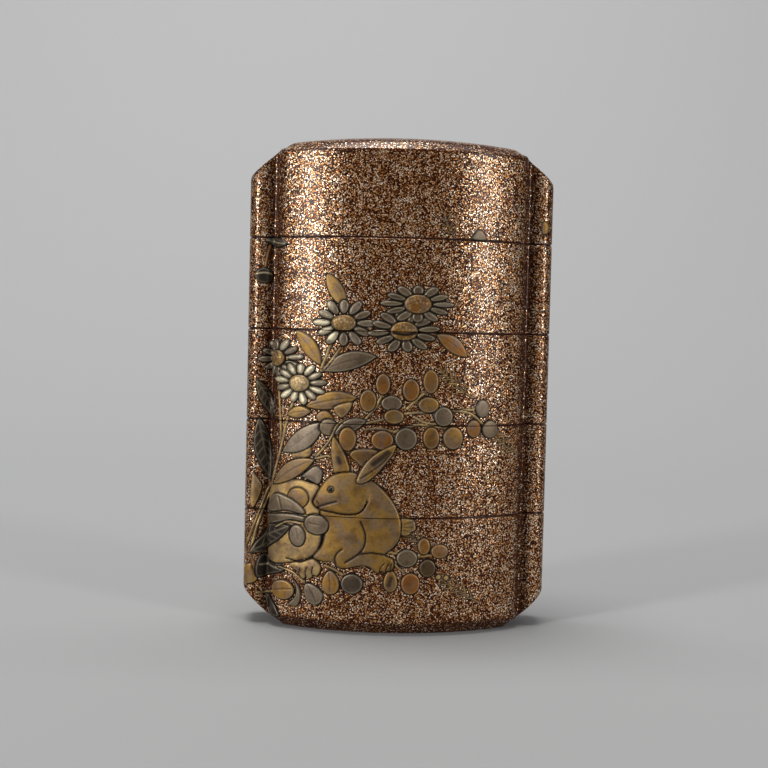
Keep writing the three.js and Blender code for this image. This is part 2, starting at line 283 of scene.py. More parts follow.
# Fills between an outer loop and its holes; the other loops only carry heights
def addPlate(skin, outer, holes, slot, rings=()):
    loops = [outer, *holes, *rings]
    points = np.concatenate(loops)
    edges = []
    start = 0
    for loop in loops:
        count = len(loop)
        if count > 2:
            edges += [(start + i, start + (i + 1) % count) for i in range(count)]
        start += count
    flat = [Vector((p[0], p[1])) for p in points]
    spots, _, faces, origins, _, _ = delaunay_2d_cdt(flat, edges, [], 0, 1e-7)
    place = np.array([points[origin[0]] if origin else (spot.x, spot.y, points[0][2])
                      for spot, origin in zip(spots, origins)])
    middles = np.array([place[list(face)].mean(axis=0) for face in faces])
    keep = insideLoop(middles, outer)
    for hole in holes:
        keep &= ~insideLoop(middles, hole)
    first = addPoints(skin, place)
    for face, kept in zip(faces, keep):
        if kept:
            skin["faces"].append(tuple(first + i for i in face))
            skin["slots"].append(slot)


def meshObject(name, points, faces, slots, materials):
    mesh = bpy.data.meshes.new(name)
    mesh.from_pydata([tuple(c * mm for c in p) for p in points], [], faces)
    for material in materials:
        mesh.materials.append(material)
    mesh.polygons.foreach_set("material_index", slots)
    made = bmesh.new()
    made.from_mesh(mesh)
    bmesh.ops.remove_doubles(made, verts=made.verts, dist=shape["weld"] * mm)
    bmesh.ops.recalc_face_normals(made, faces=made.faces)
    made.to_mesh(mesh)
    made.free()
    mesh.shade_smooth()
    mesh.set_sharp_from_angle(angle=math.radians(shape["smoothUnder"]))
    return addObject(name, mesh)


outside, inside = 0, 1                                           # material slots of a shell
holes2d = [holeLoop(side) for side in (-1, 1)]


# From 0 on the faces to 1 on the runners
def runnerShare(loop):
    share = 1.0
    for value, key in ((outsideBody(loop), "runnerBlend"), (np.abs(loop[:, 0]), "runnerSide")):
        low, high = shape[key]
        share = share * np.clip((value - low) / (high - low), 0, 1)
    return share * share * (3 - 2 * share)


# How far the bevel and the runners' ends lie from the top, end 0, or from the foot, end 1
def slopeDepth(loop, end):
    slope, past = shape["runnerEnds"][end]
    share = runnerShare(loop)
    return shape["edgeBevel"] + outsideBody(loop) * (1 - (1 - slope) * share) - past * share


def topSlope(loop):
    return topZ - slopeDepth(loop, 0)


def footSlope(loop):
    return slopeDepth(loop, 1)


# Rings that round the edge between the wall and a slope, from the wall inwards
def roundedEdge(slope, up):
    wall = planLoop()
    onFace, onRunner = shape["edgeRound"]
    radius = onFace + (onRunner - onFace) * runnerShare(wall)
    tangent = 0.41                                               # of a rounded 45 degree edge
    rings = [raised(wall, slope(wall) - up * (radius * tangent + shape["edgeLead"]))]
    for angle in np.radians((0, 12, 24, 35, 45)):
        ring = planLoop(-radius[:len(frontS)] * (1 - math.cos(angle)))
        below = radius * (math.sqrt(2) - math.cos(angle) - math.sin(angle))
        rings.append(raised(ring, slope(ring) - up * below))
    return rings


def seamRings(z, up):
    r = shape["seamRound"]
    return [raised(planLoop(-r * share), z + up * r * (1 - share) ** 1.5)
            for share in (1.0, 0.35, 0.0)]


def endFall(loop):
    return shape["endDrop"] * (loop[:, 0] / bodyHalf) ** 2


def addTop(skin):
    rings = roundedEdge(topSlope, 1)
    crown = []
    for inset, drop in shape["wornShoulder"]:
        shoulder = bodyLoop(inset)
        crown.append(raised(shoulder, topZ - drop - endFall(shoulder)))
    for share in shape["crownRings"]:
        rise = shape["crownRise"] * (1 - share ** 2)
        crown.append(raised(shoulder * share, topZ + rise - endFall(shoulder * share)))
    crown.append(np.array([[0.0, 0.0, topZ + shape["crownRise"]]]))
    mouths = [raised(hole, topSlope(hole)) for hole in holes2d]
    addPlate(skin, rings[-1], mouths, outside, crown)
    return rings, mouths


def addFoot(skin):
    rings = roundedEdge(footSlope, -1)
    base = [raised(bodyLoop(inset), z) for inset, z in shape["wornFoot"]]
    mouths = [raised(hole, footSlope(hole)) for hole in holes2d]
    addPlate(skin, rings[-1], mouths, outside, base)
    return rings[::-1], mouths


# Writes how bare of flakes, and so how dark, each point is: beside the runners, where lacquer
# gathered;
# below the foot's edge and in a line under the lid's bevel, as painted shade; plain and fade give
# the middle and the edge of each
def markBareAndPaintedShade(mesh):
    places = np.empty(len(mesh.vertices) * 3)
    mesh.vertices.foreach_get("co", places)
    x, y, z = np.abs(places.reshape(-1, 3).T) / mm
    across = np.column_stack([x, y])
    away = {"groove": np.abs(x - bareAndPaintedShade["groove"]["at"]),
            "foot": np.where(z < 3, z - footSlope(across), bodyHalf),
            "crease": np.abs(topSlope(across) - z - bareAndPaintedShade["crease"]["at"])}
    values = [place["most"] * np.clip(place["plain"] - away[key] / place["fade"], 0, 1)
              for key, place in bareAndPaintedShade.items()]
    mesh.attributes.new("bareAndPaintedShade", "FLOAT", "POINT").data.foreach_set("value", np.max(values, axis=0))


# The sprinkled outside between two edges; the worn rims at seams are plain dark lacquer
def addOuter(skin, bottomRings, topRings, topSeam):
    bottomSeam = len(bottomRings) == 3
    first, last = 1 if bottomSeam else 0, len(topRings) - 1 if topSeam else len(topRings)
    if bottomSeam:
        addWall(skin, bottomRings[:2], inside)
    addWall(skin, bottomRings[first:] + topRings[:last], outside)
    if topSeam:
        addWall(skin, topRings[-2:], inside)


def buildShell(name, low, high, materials):
    skin = newSkin()
    isLid, isFoot = name == "lid", name == "case_4"
    recess, riser, hollow = (bodyLoop(shape[key])
                             for key in ("skirtWall", "riserInset", "hollowInset"))

    def plate(outer, z, *holes):
        addPlate(skin, raised(outer, z), [raised(hole, z) for hole in holes], inside)

    def wall(loop, first, last):
        addWall(skin, [raised(loop, first), raised(loop, last)], inside)

    if isFoot:
        bottomRings, bottomMouths = addFoot(skin)
        floor = shape["footThickness"]
    else:
        bottomRings = seamRings(low, 1)
        bottomMouths = [raised(hole, low) for hole in holes2d]
        addPlate(skin, bottomRings[0], [*bottomMouths, raised(recess, low)], inside)
        roof = low + shape["recessDepth"]
        floor = roof + shape["floorThickness"]
        wall(recess, low, roof)
    if isLid:
        topRings, topMouths = addTop(skin)
        ceiling = topZ - shape["roofThickness"]
        plate(recess, roof, hollow)
        wall(hollow, roof, ceiling)
        plate(hollow, ceiling)
    else:
        topRings = seamRings(high, -1)[::-1]
        topMouths = [raised(hole, high) for hole in holes2d]
        addPlate(skin, topRings[-1], [*topMouths, raised(riser, high)], inside)
        rim = high + shape["riserHeight"]
        wall(riser, high, rim)
        plate(riser, rim, hollow)
        wall(hollow, rim, floor)
        plate(hollow, floor)
        if not isFoot:
            plate(recess, roof)
    addOuter(skin, bottomRings, topRings, not isLid)
    for lowMouth, highMouth in zip(bottomMouths, topMouths):
        addWall(skin, [lowMouth, highMouth], inside)
    piece = meshObject(name + "_shell", skin["points"], skin["faces"], skin["slots"], materials)
    markBareAndPaintedShade(piece.data)
    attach(piece, "root")
    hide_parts(name)


# Figures: each is an outline on the face, drawn in order onto a sheet of heights
relief = {
    "step": 0.13,            # grid of the sheet
    "seamGap": 0.07,         # left clear at each seam, above and below
    "buried": -0.2,          # the ground's level on the sheet, which is cut away
    "backing": -0.38,        # how deep the closed back of a figure lies in the wall
    "contourHalf": 0.17,     # half width of the dark line round a figure
    "contourDepth": 0.1,
    "contourReach": 0.16,
    "rimHeight": 0.03,       # of the line where it lies on the ground
    "wornHighlightIn": 0.24,          # where the painted highlight along the worn rim lies, and how wide it is
    "wornHighlightHalf": 0.1,
    "lineFade": 1.3,         # dark lines and drawn strokes are full in their middle, then fade
    "strokeFade": 1.4,
    "strokeRise": 0.6,       # a light stroke stands out by this share of its depth
    "insideInk": 0.9,        # share of the dark line that a figure takes over its own edge
    "meltFade": 1.6,
    "meltPasses": 24,
    "margin": 0.8,           # of the sheet, round its figures
    "least": 0.6,            # a lower strip of a sheet is left out
    "smoothUnder": 75,
}
kinds = ["gold", "silver", "dark"]


# A smooth curve through a few places, closed or open
def smooth(places, closed=True, count=10):
    p = np.array(places, float)
    if closed:
        p = np.concatenate([p[-1:], p, p[:2]])
    else:
        p = np.concatenate([2 * p[:1] - p[1:2], p, 2 * p[-1:] - p[-2:-1]])
    t = np.linspace(0, 1, count, endpoint=False)[:, None]
    out = []
    for a, b, c, d in zip(p, p[1:], p[2:], p[3:]):
        out.append(0.5 * (2 * b + (c - a) * t + (2 * a - 5 * b + 4 * c - d) * t ** 2
                          + (3 * b - a - 3 * c + d) * t ** 3))
    if not closed:
        out.append(p[-2:-1])
    return np.concatenate(out)


def pathDistance(points, path, closed):
    a = path if closed else path[:-1]
    b = np.roll(path, -1, axis=0) if closed else path[1:]
    best = np.full(len(points), 1e9)
    for start in range(0, len(a), 32):
        a1, b1 = a[start:start + 32], b[start:start + 32]
        along = b1 - a1
        t = np.einsum("nkc,kc->nk", points[:, None] - a1, along)
        t = t / np.maximum((along ** 2).sum(1), 1e-12)
        near = a1 + np.clip(t, 0, 1)[..., None] * along
        best = np.minimum(best, np.sqrt(((points[:, None] - near) ** 2).sum(2)).min(1))
    return best


def turned(points, angle):
    cos, sin = math.cos(math.radians(angle)), math.sin(math.radians(angle))
    return points @ np.array([[cos, sin], [-sin, cos]])


def ovalOutline(s, z, wide, high, turn=0.0, point=0.0):
    angle = np.linspace(0, 2 * math.pi, 48, endpoint=False)
    a = wide * np.cos(angle)
    b = high * np.sin(angle) * (1 - point * (np.cos(angle) + 1) / 2)
    return turned(np.column_stack([a, b]), turn) + (s, z)


def leafOutline(start, stop, width, bend, fullness):
    start, stop = np.array(start, float), np.array(stop, float)
    length = np.linalg.norm(stop - start)
    along = (stop - start) / length
    across = np.array([-along[1], along[0]])
    t = np.linspace(0, 1, 25)
    spine = start + np.outer(t * length, along) + np.outer(bend * 4 * t * (1 - t), across)
    half = np.outer(width / 2 * np.sin(math.pi * t) ** fullness, across)
    return np.concatenate([spine - half, (spine + half)[-2:0:-1]]), spine


# What a figure is unless it says otherwise
plain = {
    "kind": "gold",
    "tone": 0.5,             # of its powder, from dark to bright
    "rise": 0.34,            # height of its rounded edge, how wide that is, and the rise from there
    "edge": 0.28,
    "dome": 0.06,
    "lift": 0.0,             # where it starts, over another figure
    "half": 0.0,             # half width of a stem, whose outline is an open path
    "heart": 0.0,            # stain in its middle
    "ink": 1.0,              # width of the dark line round it
    "rim": 0.3,              # strength of the painted highlight, a bright worn line, just inside that
    "lines": (),
}


def figure(outline, **more):
    return {**plain, **more, "outline": outline}


def stroke(path, width, depth, ink, amount):
    return {"path": path, "width": width, "depth": depth, "ink": ink, "amount": amount}


def line(places, width=0.13, depth=0.12, ink="dark", amount=1.0):
    return stroke(smooth(places, closed=False), width, depth, ink, amount)


def crease(places, amount=0.5, width=0.09):
    return [line(places, width=width, amount=amount)]


def blob(places, **more):
    return figure(smooth(places), **more)


def oval(s, z, wide, high, tone=0.25, turn=0.0, point=0.0, rise=0.36, dome=0.08, **more):
    outline = ovalOutline(s, z, wide, high, turn, point)
    return figure(outline, tone=tone, rise=rise, dome=dome, **more)


def leaf(start, stop, width, bend=0.0, vein=0.5, ink="dark", ribs=0, fullness=0.8, **more):
    outline, spine = leafOutline(start, stop, width, bend, fullness)
    lines = [stroke(spine[1:-2], 0.1, 0.06, ink, vein)]
    along = (spine[-1] - spine[0]) / np.linalg.norm(spine[-1] - spine[0])
    across = np.array([-along[1], along[0]])
    for i in range(ribs):
        root = spine[int(2 + i * 19 / ribs)]
        for side in (-1, 1):
            tip = root + along * width * 0.4 + across * side * width * 0.4
            lines.append(stroke(np.array([root, tip]), 0.08, 0.05, ink, vein))
    return figure(outline, lines=lines, **more)


def darkLeaf(start, stop, width, tone, vein=0.3, **more):
    return leaf(start, stop, width, tone=tone, vein=vein, kind="dark", ink="light", ribs=6, **more)


def stem(places, width=0.5, tone=0.45, rise=0.24, lift=0.0):
    return figure(smooth(places, closed=False), tone=tone, rise=rise, dome=0.0, edge=width / 2,
                  lift=lift, half=width / 2)


def stems(width, tone, paths):
    return [stem(places, width=width, tone=tone) for places in paths]


# Petals are in shares of a flower's half size; the disc's pits lie in a spiral
flower = {
    "middle": 0.69,          # of a petal, out from the flower's
    "half": 0.31,
    "width": 0.135,
    "point": -0.25,          # below 0, wider at its tip
    "shorter": 0.07,         # every other petal
    "uneven": 0.08,          # tone from petal to petal
    "pits": 46,
    "pitTurn": 2.4,          # radians from one to the next
    "pitReach": 0.88,
    "pitSize": 0.02,
}


# Small dark pits and bright grains spread evenly over an oval
def pits(s, z, wide, high):
    made = []
    for i in range(flower["pits"]):
        out = flower["pitReach"] * math.sqrt((i + 0.5) / flower["pits"])
        angle = i * flower["pitTurn"]
        dot = np.array([s + wide * out * math.cos(angle), z + high * out * math.sin(angle)])
        ink = "light" if math.sin(i * i) > 0 else "dark"         # in no order that shows
        made.append(stroke(np.array([dot, dot + flower["pitSize"]]), 0.1, 0.05, ink, 0.55))
    return made


# A flower with slim petals round a pitted disc
def aster(s, z, wide, high, discWide, discHigh, tones, discTone=0.4, petals=12, turn=0.0, chips=()):
    made = []
    for i in range(petals):
        angle = turn + i * 360 / petals
        long = 1 - flower["shorter"] * (i % 2)
        petal = ovalOutline(flower["middle"], 0, flower["half"], flower["width"],
                            point=flower["point"]) * (long, 1)
        petal = turned(petal, angle) * (wide, high) + (s, z)
        side = (math.cos(math.radians(angle)) + 1) / 2
        tone = tones[0] * (1 - side) + tones[1] * side
        tone = tone + flower["uneven"] * (-1) ** i
        made.append(figure(petal, kind="silver", tone=tone, rise=0.4, dome=0.1, edge=0.35, ink=0.8))
    lines = [*pits(s, z, discWide, discHigh), *chips]
    made.append(oval(s, z, discWide, discHigh, tone=discTone, rise=0.6, dome=0.22, edge=0.5,
                     lines=lines))
    return made


def trefoil(s, z, turn, size):
    made = []
    for leafTurn in (turn, turn + 120, turn + 240):
        angle, reach = math.radians(leafTurn), size * 1.45
        middle = s + reach * math.cos(angle), z + reach * math.sin(angle)
        made.append(oval(*middle, size, size * 0.85, turn=leafTurn))
    return made


def blankSheet(low, high, left, right):
    columns = int(round((right - left) / relief["step"]))
    rows = max(2, int(round((high - low) / relief["step"])))
    s, z = np.meshgrid(np.linspace(left, right, columns + 1), np.linspace(low, high, rows + 1))
    zero = np.zeros(s.shape)
    return {"s": s, "z": z, "height": zero + relief["buried"], "tone": zero + 0.5,
            "dark": zero.copy(), "light": zero.copy(), "kind": zero.astype(int)}


# Rubs away the line where two forms run together
def melt(sheet, s, z, reach):
    away = np.hypot(sheet["s"] - s, sheet["z"] - z)
    share = np.clip(relief["meltFade"] * (1 - away / reach), 0, 1) * (sheet["height"] > 0)
    height = sheet["height"]
    for _ in range(relief["meltPasses"]):
        mean = sum(np.roll(height, step, axis) for step in (-1, 1) for axis in (0, 1)) / 4
        height = height + (mean - height) * share
    sheet["height"][...] = height
    sheet["dark"] *= 1 - share
    sheet["light"] *= 1 - share


def drawFigure(sheet, made):
    if "melt" in made:
        melt(sheet, *made["melt"])
        return
    outline = made["outline"]
    margin = made["half"] + relief["contourReach"] + relief["step"]
    low, high = outline.min(0) - margin, outline.max(0) + margin
    columns = slice(*np.searchsorted(sheet["s"][0], (low[0], high[0])))
    rows = slice(*np.searchsorted(sheet["z"][:, 0], (low[1], high[1])))
    part = {key: values[rows, columns] for key, values in sheet.items()}
    if part["s"].size == 0:
        return
    points = np.column_stack([part["s"].ravel(), part["z"].ravel()])
    if made["half"]:
        deep = made["half"] - pathDistance(points, outline, False)
    else:
        deep = pathDistance(points, outline, True) * np.where(insideLoop(points, outline), 1, -1)
    deep = deep.reshape(part["s"].shape)
    within = deep > 0
    rim = (deep > -relief["contourReach"]) & ~within
    onGround = part["height"] < 0
    ink = relief["lineFade"] - np.abs(deep) / (relief["contourHalf"] * made["ink"])
    ink = np.clip(ink, 0, 1)
    if made["half"]:
        ink = ink * ~within
    steep = 1 - np.clip(deep / made["edge"], 0, 1)
    flat = 1 - np.clip(deep / max(deep.max(), 1e-6), 0, 1)
    own = made["lift"] + made["rise"] * np.sqrt(1 - steep ** 2) + made["dome"] * (1 - flat ** 2)
    cut = relief["contourDepth"] * ink
    height = np.where(within, own - cut * (made["lift"] > 0), part["height"])
    height = np.where(rim, np.maximum(part["height"] - cut, relief["rimHeight"]), height)
    middle = made["heart"] * (1 - flat ** 2)
    dark = np.where(within, np.maximum(ink * relief["insideInk"], middle), part["dark"])
    dark = np.where(rim, np.maximum(dark, np.where(onGround, 1.0, ink)), dark)
    # Painted highlight: a pale line just inside the dark line, light on the worn edge
    wearAndPaintedLight = 0 if made["half"] else made["rim"]
    wearAndPaintedLight = wearAndPaintedLight * np.exp(-((deep - relief["wornHighlightIn"]) / relief["wornHighlightHalf"]) ** 2)
    light = np.where(within, wearAndPaintedLight, part["light"])
    for drawn in made["lines"]:
        away = pathDistance(points, drawn["path"], False).reshape(deep.shape)
        mark = np.clip(relief["strokeFade"] * np.exp(-(away / drawn["width"]) ** 2), 0, 1)
        mark = mark * within * drawn["amount"]
        if drawn["ink"] == "dark":
            height = height - mark * drawn["depth"]
            dark = np.maximum(dark, mark)
        else:
            height = height + mark * drawn["depth"] * relief["strokeRise"]
            light = np.maximum(light, mark)
    part["height"][...] = height
    part["dark"][...] = dark
    part["light"][...] = light
    part["tone"][...] = np.where(within, made["tone"], part["tone"])
    owner = kinds.index(made["kind"])
    part["kind"][...] = np.where(within | (rim & onGround), owner, part["kind"])


# A place on the front, or turned round onto the back, following the bevel at the foot
def onFace(s, z, h, back):
    x, y, _, _ = planAt(s)
    over = np.maximum(footSlope(np.column_stack([x, y])) - z, 0.0)
    x, y, outX, outY = planAt(s, h * np.where(over > 0, math.sqrt(0.5), 1.0))
    x, y = x - outX * over, y - outY * over
    z = z - np.where(over > 0, h * math.sqrt(0.5), 0.0)
    turn = -1 if back else 1
    return np.column_stack([turn * x, turn * y, z])


# The part of a sheet in one kind of metal, as a closed mesh sunk into the wall
def sheetObject(name, sheet, kind, material, back):
    shown = sheet["height"] > relief["buried"] + 0.01
    face = shown[:-1, :-1] | shown[1:, :-1] | shown[:-1, 1:] | shown[1:, 1:]
    owner = np.where(shown, sheet["kind"], -1)
    low = np.maximum(owner[:-1, :-1], owner[1:, :-1])
    high = np.maximum(owner[:-1, 1:], owner[1:, 1:])
    face &= np.maximum(low, high) == kind
    if not face.any():
        return
    index = np.arange(sheet["s"].size).reshape(sheet["s"].shape)
    quads = np.column_stack([index[:-1, :-1][face], index[:-1, 1:][face], index[1:, 1:][face],
                             index[1:, :-1][face]])
    used, flat = np.unique(quads, return_inverse=True)
    quads = flat.reshape(-1, 4)
    count = len(used)
    s, z, height = (sheet[key].ravel()[used] for key in ("s", "z", "height"))
    points = np.concatenate([onFace(s, z, height, back),
                             onFace(s, z, np.full(count, relief["backing"]), back)])
    rim = {}
    for quad in quads.tolist():
        for pair in zip(quad, quad[1:] + quad[:1]):
            if (pair[1], pair[0]) in rim:
                del rim[(pair[1], pair[0])]
            else:
                rim[pair] = True
    faces = quads.tolist() + (quads[:, ::-1] + count).tolist()
    faces += [(j, i, i + count, j + count) for i, j in rim]
    mesh = bpy.data.meshes.new(name)
    mesh.from_pydata((points * mm).tolist(), [], faces)
    mesh.materials.append(material)
    for key in ("tone", "dark", "light"):
        values = np.tile(sheet[key].ravel()[used], 2)
        mesh.attributes.new(key, "FLOAT", "POINT").data.foreach_set("value", values)
    mesh.shade_smooth()
    mesh.set_sharp_from_angle(angle=math.radians(relief["smoothUnder"]))
    piece = addObject(name, mesh)
    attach(piece, "root")


def buildFigures(place, figures, materials, back=False):
    outlines = np.concatenate([made["outline"] for made in figures if "outline" in made])
    left, low = outlines.min(0) - relief["margin"]
    right, high = outlines.max(0) + relief["margin"]
    for i, piece in enumerate(pieceNames):
        bottom = max(low, tiers[i] + relief["seamGap"] * (i > 0))
        top = min(high, tiers[i + 1] - relief["seamGap"])
        if top - bottom < relief["least"]:
            continue
        sheet = blankSheet(bottom, top, left, right)
        for made in figures:
            drawFigure(sheet, made)
        for kind, word in enumerate(kinds):
            sheetObject(f"{piece}_{place}_{word}", sheet, kind, materials[word], back)
    print("drew the", place, "figures")


# The plants of the front, in (s, z): s along the face from its middle, z above the table
def leftStalks():
    return [
        darkLeaf((-28.6, 43.6), (-24.6, 36.6), 2.6, 0.6),
        darkLeaf((-28.0, 37.0), (-25.4, 25.6), 3.4, 0.4, vein=0.28, bend=-0.3),
        blob([(-29.1, 25.6), (-28.8, 27.0), (-27.5, 25.4), (-27.2, 24.0), (-28.5, 20.8),
              (-29.3, 21.7)], tone=0.6),
        blob([(-30.2, 10.1), (-28.8, 10.8), (-27.9, 9.9), (-27.9, 7.6), (-30.3, 7.1)], tone=0.5),
        stem([(-30.1, 13.8), (-28.9, 16.7), (-27.6, 19.9), (-26.0, 24.0), (-23.1, 28.2),
              (-21.8, 32.1), (-21.9, 35.7), (-22.3, 40.0), (-22.8, 44.5)], tone=0.65),
        stem([(-28.9, 13.5), (-28.0, 17.2), (-26.4, 21.7), (-23.5, 27.0), (-21.6, 32.3),
              (-20.9, 35.7), (-19.6, 39.6), (-18.4, 41.8)], tone=0.8),
        stem([(-29.4, 13.0), (-28.5, 10.8), (-27.8, 8.6)], tone=0.35),
    ]


def topBuds():
    return [
        stem([(-26.4, 67.2), (-27.0, 65.2), (-27.4, 63.0)], width=0.4, tone=0.3),
        leaf((-27.6, 68.0), (-21.0, 67.2), 1.7, kind="dark", tone=0.3, vein=0.9, ink="light"),
        oval(-27.5, 61.8, 1.7, 1.4, kind="dark", tone=0.4,
             lines=[line([(-29.0, 62.0), (-27.5, 62.3), (-26.1, 62.0)], ink="light", width=0.12)]),
        blob([(11.8, 68.6), (14.2, 68.6), (14.1, 69.7), (13.1, 70.4), (12.1, 69.8)], kind="silver",
             tone=0.5),
        blob([(28.2, 72.6), (29.3, 72.0), (29.2, 70.6), (28.1, 70.4)], rise=0.2),
    ]


def leaves():
    return [
        leaf((-10.1, 56.6), (-13.5, 62.2), 2.7, tone=0.55, vein=0.15, fullness=0.6),
        leaf((-14.2, 46.4), (-19.2, 52.4), 2.9, vein=0.25, bend=-0.3),
        leaf((-14.0, 45.4), (-4.4, 48.2), 3.2, bend=0.5, kind="silver", tone=0.25, vein=0.35),
        leaf((5.6, 52.2), (11.4, 48.3), 2.8, tone=0.3, vein=0.3, bend=0.3),
        *stems(0.5, 0.78, [[(-12.6, 50.2), (-13.4, 47.9), (-14.3, 45.7)],
                           [(-10.9, 49.4), (-12.4, 47.3), (-14.0, 45.4)],
                           [(-14.1, 45.5), (-15.6, 44.2)]]),
        leaf((-17.0, 39.2), (-7.6, 41.1), 3.1, bend=0.3),
        blob([(-11.8, 39.3), (-8.6, 40.3), (-9.2, 38.3), (-10.6, 37.5)], tone=0.6),
        leaf((-20.7, 37.6), (-15.8, 38.4), 2.2, tone=0.55, vein=0.4, bend=0.2),
        blob([(-15.0, 37.6), (-14.0, 38.6), (-12.6, 38.5), (-11.7, 37.2), (-12.0, 36.3),
              (-14.2, 36.6)], tone=0.45),
        blob([(-19.3, 31.4), (-17.6, 32.6), (-16.0, 33.1), (-15.8, 30.7), (-19.1, 29.9)], tone=0.6),
        leaf((-21.4, 31.0), (-13.3, 36.7), 3.6, kind="silver", tone=0.55, vein=0.15, bend=-0.3),
        oval(-12.6, 35.8, 1.7, 1.5, kind="silver", tone=0.3),
    ]


def branches():
    return stems(0.42, 0.78, [
        [(-15.2, 30.2), (-12.5, 33.4), (-11.1, 36.2), (-9.1, 37.4)],
        [(-15.0, 30.2), (-13.0, 30.8), (-12.2, 30.7)],
        [(-6.2, 37.4), (-4.6, 39.4), (-3.4, 41.6)],
        [(-6.1, 36.7), (-2.7, 37.6), (1.0, 38.6), (5.6, 38.9), (9.0, 39.1), (13.3, 39.4)],
        [(0.9, 39.4), (2.4, 40.9), (3.7, 42.0)],
        [(2.1, 38.0), (4.2, 37.0), (6.4, 36.8)],
        [(9.0, 39.1), (11.2, 38.9), (12.7, 38.4), (14.6, 36.9)],
        [(-6.0, 35.7), (-3.7, 35.9), (-1.2, 35.4)],
        [(-1.2, 35.4), (2.6, 36.6), (5.2, 36.4), (7.6, 36.2)],
    ]) + [leaf((-11.6, 34.6), (-5.9, 37.2), 2.4, kind="silver", tone=0.2, vein=0.6, bend=0.3)]


def clover():
    gold = [
        (-3.3, 43.5, 1.3, 1.85), (-5.8, 40.6, 1.5, 1.95), (-1.3, 38.0, 1.75, 1.3),
        (1.5, 42.6, 1.5, 1.95), (4.9, 44.1, 1.4, 2.1), (4.6, 40.1, 1.85, 1.4),
        (12.9, 36.0, 1.35, 1.6), (5.2, 34.4, 1.5, 1.95), (9.1, 34.4, 1.85, 2.0),
        (-3.2, 33.9, 1.95, 1.7), (-9.2, 33.9, 1.6, 2.1),
    ]
    grey = [
        (-1.75, 40.25, 1.85, 1.35, 0.3), (7.3, 38.1, 1.7, 1.75, 0.2), (14.5, 39.5, 1.35, 1.6, 0.5),
        (16.1, 35.9, 1.6, 1.6, 0.3), (0.85, 34.2, 1.95, 1.95, 0.2),
    ]
    made = [oval(*place, kind="silver") for place in grey]
    made += [oval(*place, tone=0.3 + 0.08 * (i % 3), heart=(0.25, 0.35, 0.2)[i % 3])
             for i, place in enumerate(gold)]
    made.append(blob([(-8.8, 31.2), (-7.7, 30.1), (-6.3, 29.1), (-5.25, 30.3), (-4.0, 32.1),
                      (-7.6, 32.2)], tone=0.4, heart=0.55))
    return made


def lowRight():
    heart = line([(-1.5, 9.0), (-1.2, 10.2)], width=0.4, depth=0.0, amount=0.8)
    return stems(0.4, 0.7, [[(-1.8, 14.6), (0.5, 14.4)], [(-0.6, 12.5), (0.9, 11.2)],
                            [(3.4, 13.9), (6.0, 14.1)], [(2.6, 12.6), (3.9, 14.6)]]) + [
        oval(1.5, 13.6, 1.85, 1.6, kind="silver", tone=0.3),
        oval(4.4, 15.7, 1.15, 1.5, tone=0.35),
        oval(7.2, 14.8, 1.6, 1.3, tone=0.35),
        oval(5.1, 11.9, 1.5, 1.6, kind="dark", tone=0.9),
        oval(-1.25, 9.6, 1.95, 1.45, turn=90, point=0.3, tone=0.4, lines=[heart]),
        oval(2.2, 9.2, 1.7, 1.9, tone=0.25),
    ]


def bottomRow():
    return [
        blob([(-27.2, 12.4), (-25.5, 12.4), (-21.0, 11.0), (-21.0, 9.9), (-25.4, 8.7),
              (-27.8, 8.3), (-28.1, 10.3)], kind="dark", tone=0.35, rise=0.3,
             lines=[line([(-27.4, 10.6), (-24.6, 10.7), (-21.8, 10.5)], ink="light", amount=0.7)]),
        blob([(-25.9, 5.2), (-25.3, 2.5), (-21.4, 1.9), (-23.0, 4.4)], kind="dark", tone=0.3,
             rise=0.3),
        *stems(0.42, 0.78, [[(-27.8, 5.5), (-25.4, 5.7), (-20.4, 6.8)],
                            [(-21.8, 10.8), (-18.9, 10.1), (-16.6, 8.5)],
                            [(-12.9, 11.8), (-11.2, 11.3), (-9.6, 10.4)]]),
        oval(-20.8, 6.8, 2.4, 1.8, tone=0.45,
             lines=crease([(-22.7, 6.6), (-20.8, 6.9), (-18.9, 7.1)])),
        blob([(-19.0, 9.2), (-18.1, 7.5), (-18.3, 5.9), (-19.6, 4.4), (-17.8, 4.2), (-17.1, 6.0),
              (-17.6, 7.8)], kind="silver", tone=0.3),
        oval(-14.9, 6.7, 2.15, 1.9, turn=130, point=0.35, kind="silver", tone=0.5,
             lines=crease([(-16.0, 8.3), (-14.9, 6.8), (-14.2, 5.2)])),
        oval(-11.7, 8.9, 2.15, 1.95, turn=92, point=0.4, tone=0.42,
             lines=crease([(-11.9, 10.6), (-11.7, 8.9), (-11.6, 7.3)])),
        oval(-7.9, 8.9, 1.95, 1.8, kind="silver", tone=0.05),
    ]


